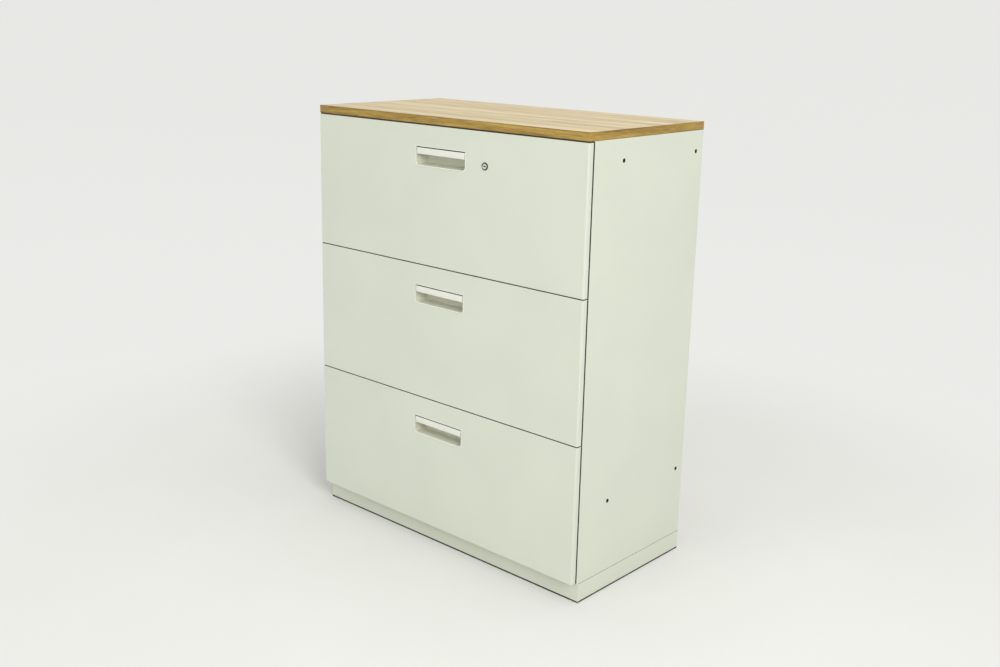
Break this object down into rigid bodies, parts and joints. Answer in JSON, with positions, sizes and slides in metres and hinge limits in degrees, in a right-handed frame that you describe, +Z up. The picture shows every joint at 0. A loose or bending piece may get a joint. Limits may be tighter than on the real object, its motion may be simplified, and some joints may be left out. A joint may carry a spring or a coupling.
{
  "type": "lateral filing cabinet",
  "caption": "Lateral filing cabinet of painted sheet steel with wide drawers, recessed latch handles, a lock and a wood worktop.",
  "frame": {"origin": "on the floor, below the middle of the cabinet's overall box", "axes": "+X to the right as seen from the front, +Y to the back, +Z up"},
  "size_m": [0.9, 0.452, 1.12],
  "materials": {
    "painted_body": "satin",
    "painted_front": "satin",
    "painted_tray": "satin",
    "moulded_handle": "matte",
    "moulded_lever": "matte",
    "worktop_laminate": "satin",
    "worktop_edge": "satin",
    "zinc_steel": "satin",
    "lock_metal": "polished",
    "rubber": "matte"
  },
  "bodies": {
    "cabinet": {"worktop_board": "worktop_laminate", "worktop_edging": "worktop_edge", "side_panel_left": "painted_body", "side_panel_right": "painted_body", "slide_uprights_left": "zinc_steel", "slide_uprights_right": "zinc_steel", "body_top_frame": "painted_body", "body_bottom_pan": "painted_body", "back_panel": "painted_body", "base_frame": "painted_body", "front_bumpers": "rubber", "top_slide_outer": "zinc_steel", "middle_slide_outer": "zinc_steel", "bottom_slide_outer": "zinc_steel"},
    "foot_front_left": {"levelling_foot_front_left": "zinc_steel"},
    "foot_front_right": {"levelling_foot_front_right": "zinc_steel"},
    "foot_rear_left": {"levelling_foot_rear_left": "zinc_steel"},
    "foot_rear_right": {"levelling_foot_rear_right": "zinc_steel"},
    "top_drawer": {"top_drawer_front": "painted_front", "top_drawer_liner": "painted_front", "top_handle_cup": "moulded_handle", "top_tray_floor": "painted_tray", "top_tray_side_left": "painted_tray", "top_tray_side_right": "painted_tray", "top_tray_back": "painted_tray", "top_slide_inner": "zinc_steel", "top_latch_spring": "zinc_steel", "lock_barrel": "lock_metal", "lock_nut": "lock_metal"},
    "top_slide_members": {"top_slide_middle": "zinc_steel"},
    "top_latch": {"top_latch_lever": "moulded_lever", "top_latch_rod": "zinc_steel"},
    "middle_drawer": {"middle_drawer_front": "painted_front", "middle_drawer_liner": "painted_front", "middle_handle_cup": "moulded_handle", "middle_tray_floor": "painted_tray", "middle_tray_side_left": "painted_tray", "middle_tray_side_right": "painted_tray", "middle_tray_back": "painted_tray", "middle_slide_inner": "zinc_steel", "middle_latch_spring": "zinc_steel"},
    "middle_slide_members": {"middle_slide_middle": "zinc_steel"},
    "middle_latch": {"middle_latch_lever": "moulded_lever", "middle_latch_rod": "zinc_steel"},
    "bottom_drawer": {"bottom_drawer_front": "painted_front", "bottom_drawer_liner": "painted_front", "bottom_handle_cup": "moulded_handle", "bottom_tray_floor": "painted_tray", "bottom_tray_side_left": "painted_tray", "bottom_tray_side_right": "painted_tray", "bottom_tray_back": "painted_tray", "bottom_slide_inner": "zinc_steel", "bottom_latch_spring": "zinc_steel"},
    "bottom_slide_members": {"bottom_slide_middle": "zinc_steel"},
    "bottom_latch": {"bottom_latch_lever": "moulded_lever", "bottom_latch_rod": "zinc_steel"},
    "lock_cylinder": {"lock_plug": "lock_metal", "lock_crank": "lock_metal"},
    "lock_slide": {"lock_bolt": "lock_metal"}
  },
  "joints": [
    {"name": "foot_front_left_screw", "type": "hinge", "parent": "cabinet", "child": "foot_front_left", "pos_m": [-0.41, -0.158, 0.005], "axis": [0, 0, 1], "continuous": true},
    {"name": "foot_front_right_screw", "type": "hinge", "parent": "cabinet", "child": "foot_front_right", "pos_m": [0.41, -0.158, 0.005], "axis": [0, 0, 1], "continuous": true},
    {"name": "foot_rear_left_screw", "type": "hinge", "parent": "cabinet", "child": "foot_rear_left", "pos_m": [-0.41, 0.186, 0.005], "axis": [0, 0, 1], "continuous": true},
    {"name": "foot_rear_right_screw", "type": "hinge", "parent": "cabinet", "child": "foot_rear_right", "pos_m": [0.41, 0.186, 0.005], "axis": [0, 0, 1], "continuous": true},
    {"name": "top_drawer_slide", "type": "slide", "parent": "cabinet", "child": "top_drawer", "axis": [0, -1, 0], "range_m": [0, 0.38]},
    {"name": "top_slide_members_slide", "type": "slide", "parent": "cabinet", "child": "top_slide_members", "axis": [0, -1, 0], "range_m": [0, 0.19]},
    {"name": "top_latch_lift", "type": "hinge", "parent": "top_drawer", "child": "top_latch", "pos_m": [0, -0.216, 1.0537], "axis": [-1, 0, 0], "range_deg": [0, 13], "stiffness_Nm_per_rad": 0.6, "springref_deg": -8.59, "deforming": ["top_latch_spring"]},
    {"name": "middle_drawer_slide", "type": "slide", "parent": "cabinet", "child": "middle_drawer", "axis": [0, -1, 0], "range_m": [0, 0.38]},
    {"name": "middle_slide_members_slide", "type": "slide", "parent": "cabinet", "child": "middle_slide_members", "axis": [0, -1, 0], "range_m": [0, 0.19]},
    {"name": "middle_latch_lift", "type": "hinge", "parent": "middle_drawer", "child": "middle_latch", "pos_m": [0, -0.216, 0.70553], "axis": [-1, 0, 0], "range_deg": [0, 13], "stiffness_Nm_per_rad": 0.6, "springref_deg": -8.59, "deforming": ["middle_latch_spring"]},
    {"name": "bottom_drawer_slide", "type": "slide", "parent": "cabinet", "child": "bottom_drawer", "axis": [0, -1, 0], "range_m": [0, 0.38]},
    {"name": "bottom_slide_members_slide", "type": "slide", "parent": "cabinet", "child": "bottom_slide_members", "axis": [0, -1, 0], "range_m": [0, 0.19]},
    {"name": "bottom_latch_lift", "type": "hinge", "parent": "bottom_drawer", "child": "bottom_latch", "pos_m": [0, -0.216, 0.35737], "axis": [-1, 0, 0], "range_deg": [0, 13], "stiffness_Nm_per_rad": 0.6, "springref_deg": -8.59, "deforming": ["bottom_latch_spring"]},
    {"name": "lock_turn", "type": "hinge", "parent": "top_drawer", "child": "lock_cylinder", "pos_m": [0.147, -0.214, 1.017], "axis": [0, 1, 0], "range_deg": [0, 90]},
    {"name": "lock_bolt_rise", "type": "slide", "parent": "top_drawer", "child": "lock_slide", "axis": [0, 0, 1], "range_m": [0, 0.01202]}
  ],
  "couplings": [
    {"joint": "top_slide_members_slide", "follows": "top_drawer_slide", "ratio": 0.5},
    {"joint": "middle_slide_members_slide", "follows": "middle_drawer_slide", "ratio": 0.5},
    {"joint": "bottom_slide_members_slide", "follows": "bottom_drawer_slide", "ratio": 0.5},
    {"joint": "lock_turn", "follows": "lock_bolt_rise", "rad_per_m": 130.67}
  ]
}
